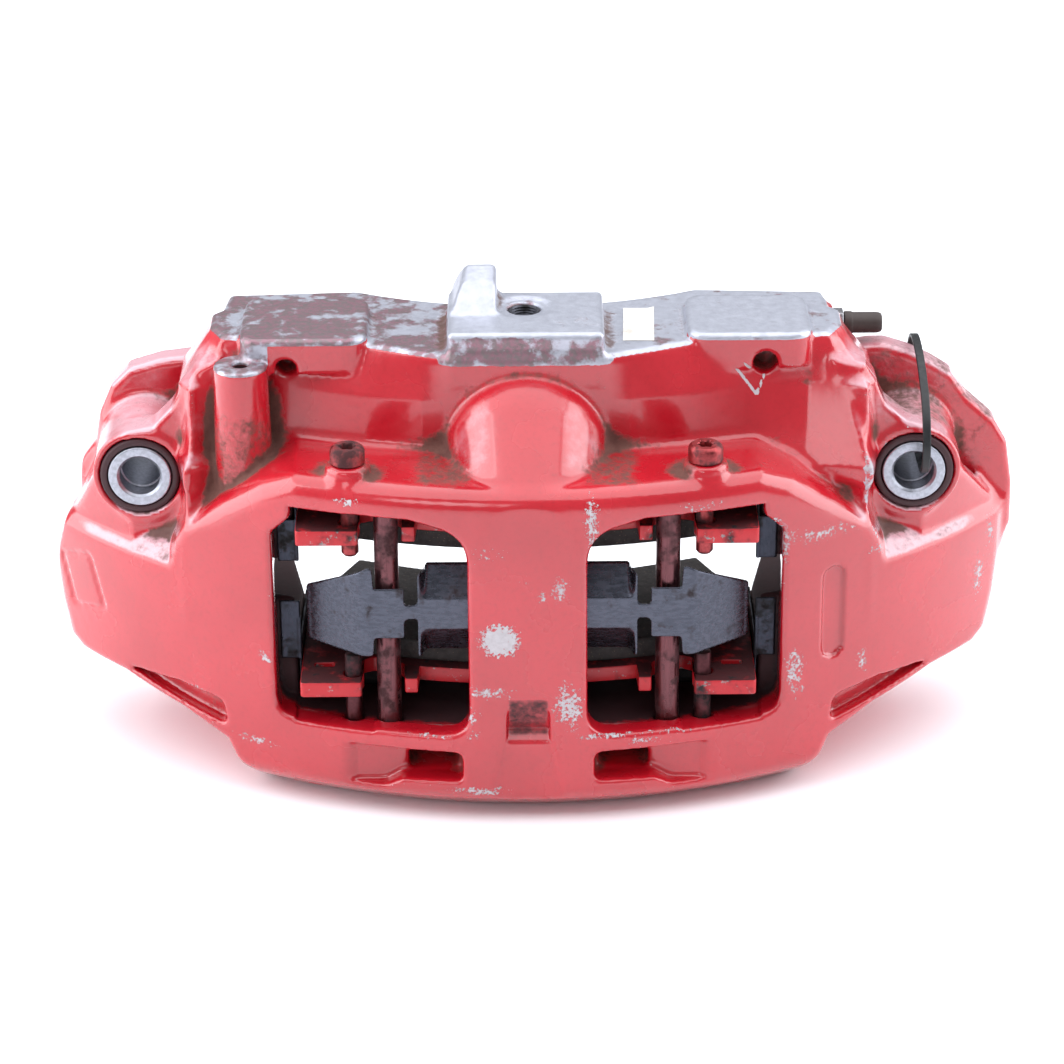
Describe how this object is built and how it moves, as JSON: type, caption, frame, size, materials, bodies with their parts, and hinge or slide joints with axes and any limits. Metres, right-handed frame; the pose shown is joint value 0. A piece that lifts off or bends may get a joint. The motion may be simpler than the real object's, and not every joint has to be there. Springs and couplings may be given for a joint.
{
  "type": "fixed brake caliper",
  "caption": "Fixed opposed-piston disc brake caliper: arched red monobloc casting with two bridge windows, pistons, sliding pads, pad spring and radial mounting bushes.",
  "frame": {"origin": "where the centre pistons' axis meets the outboard face that the caliper rests on", "axes": "+Z along the disc axis from outboard to inboard, +X along the disc's tangent, -Y radially outward"},
  "size_m": [0.348, 0.12, 0.1785],
  "materials": {
    "red_paint": "gloss red paint over cast aluminium, chipped",
    "piston_alloy": "hard-anodised, turned",
    "seal_rubber": "smooth",
    "boot_rubber": "matt, dusty",
    "plate_paint": "red paint over steel, dirty",
    "friction": "rough, part worn",
    "pin_steel": "zinc plated, dirty",
    "rod_steel": "ground, dirty",
    "spring_steel": "dark, stained",
    "bush_steel": "zinc plated",
    "ring_rubber": "matt",
    "cap_rubber": "matt, weathered",
    "nylon": "moulded"
  },
  "bodies": {
    "casting": {"caliper_body": "red_paint", "piston_seal_inboard_left": "seal_rubber", "dust_boot_inboard_left": "boot_rubber", "piston_seal_outboard_left": "seal_rubber", "dust_boot_outboard_left": "boot_rubber", "piston_seal_inboard_centre": "seal_rubber", "dust_boot_inboard_centre": "boot_rubber", "piston_seal_outboard_centre": "seal_rubber", "dust_boot_outboard_centre": "boot_rubber", "piston_seal_inboard_right": "seal_rubber", "dust_boot_inboard_right": "boot_rubber", "piston_seal_outboard_right": "seal_rubber", "dust_boot_outboard_right": "boot_rubber", "guide_pin_inboard_left": "pin_steel", "guide_pin_outboard_left": "pin_steel", "spring_rod_left": "rod_steel", "guide_pin_inboard_right": "pin_steel", "guide_pin_outboard_right": "pin_steel", "spring_rod_right": "rod_steel", "pad_spring": "spring_steel", "abutment_plate_inboard_left": "spring_steel", "abutment_plate_outboard_left": "spring_steel", "abutment_plate_inboard_right": "spring_steel", "abutment_plate_outboard_right": "spring_steel", "mount_bush_left": "bush_steel", "mount_bush_ring_left": "ring_rubber", "mount_bush_right": "bush_steel", "mount_bush_ring_right": "ring_rubber", "tag_tie": "nylon"},
    "pad_inboard": {"pad_plate_inboard": "plate_paint", "pad_friction_inboard": "friction"},
    "pad_outboard": {"pad_plate_outboard": "plate_paint", "pad_friction_outboard": "friction"},
    "piston_inboard_left": {"piston_inboard_left": "piston_alloy"},
    "piston_inboard_centre": {"piston_inboard_centre": "piston_alloy"},
    "piston_inboard_right": {"piston_inboard_right": "piston_alloy"},
    "piston_outboard_left": {"piston_outboard_left": "piston_alloy"},
    "piston_outboard_centre": {"piston_outboard_centre": "piston_alloy"},
    "piston_outboard_right": {"piston_outboard_right": "piston_alloy"},
    "bleed_screw": {"bleed_screw": "bush_steel"},
    "bleed_cap": {"bleed_cap": "cap_rubber"}
  },
  "joints": [
    {"name": "pad_inboard_slide", "type": "slide", "parent": "casting", "child": "pad_inboard", "axis": [0, 0, 1], "range_m": [-0.008, 0.006], "deforming": ["dust_boot_inboard_left", "dust_boot_inboard_centre", "dust_boot_inboard_right"]},
    {"name": "piston_inboard_left_slide", "type": "slide", "parent": "casting", "child": "piston_inboard_left", "axis": [0, 0, 1], "range_m": [-0.008, 0.006]},
    {"name": "piston_inboard_centre_slide", "type": "slide", "parent": "casting", "child": "piston_inboard_centre", "axis": [0, 0, 1], "range_m": [-0.008, 0.006]},
    {"name": "piston_inboard_right_slide", "type": "slide", "parent": "casting", "child": "piston_inboard_right", "axis": [0, 0, 1], "range_m": [-0.008, 0.006]},
    {"name": "pad_outboard_slide", "type": "slide", "parent": "casting", "child": "pad_outboard", "axis": [0, 0, -1], "range_m": [-0.008, 0.006], "deforming": ["dust_boot_outboard_left", "dust_boot_outboard_centre", "dust_boot_outboard_right"]},
    {"name": "piston_outboard_left_slide", "type": "slide", "parent": "casting", "child": "piston_outboard_left", "axis": [0, 0, -1], "range_m": [-0.008, 0.006]},
    {"name": "piston_outboard_centre_slide", "type": "slide", "parent": "casting", "child": "piston_outboard_centre", "axis": [0, 0, -1], "range_m": [-0.008, 0.006]},
    {"name": "piston_outboard_right_slide", "type": "slide", "parent": "casting", "child": "piston_outboard_right", "axis": [0, 0, -1], "range_m": [-0.008, 0.006]},
    {"name": "bleed_screw_turn", "type": "hinge", "parent": "casting", "child": "bleed_screw", "pos_m": [0.1, 0.036, 0.1505], "axis": [1, 0, 0], "range_deg": [0, 180]},
    {"name": "bleed_cap_pull", "type": "slide", "parent": "bleed_screw", "child": "bleed_cap", "axis": [1, 0, 0], "range_m": [0, 0.012]}
  ],
  "couplings": [
    {"joint": "piston_inboard_left_slide", "follows": "pad_inboard_slide", "ratio": 1},
    {"joint": "piston_inboard_centre_slide", "follows": "pad_inboard_slide", "ratio": 1},
    {"joint": "piston_inboard_right_slide", "follows": "pad_inboard_slide", "ratio": 1},
    {"joint": "piston_outboard_left_slide", "follows": "pad_outboard_slide", "ratio": 1},
    {"joint": "piston_outboard_centre_slide", "follows": "pad_outboard_slide", "ratio": 1},
    {"joint": "piston_outboard_right_slide", "follows": "pad_outboard_slide", "ratio": 1}
  ]
}
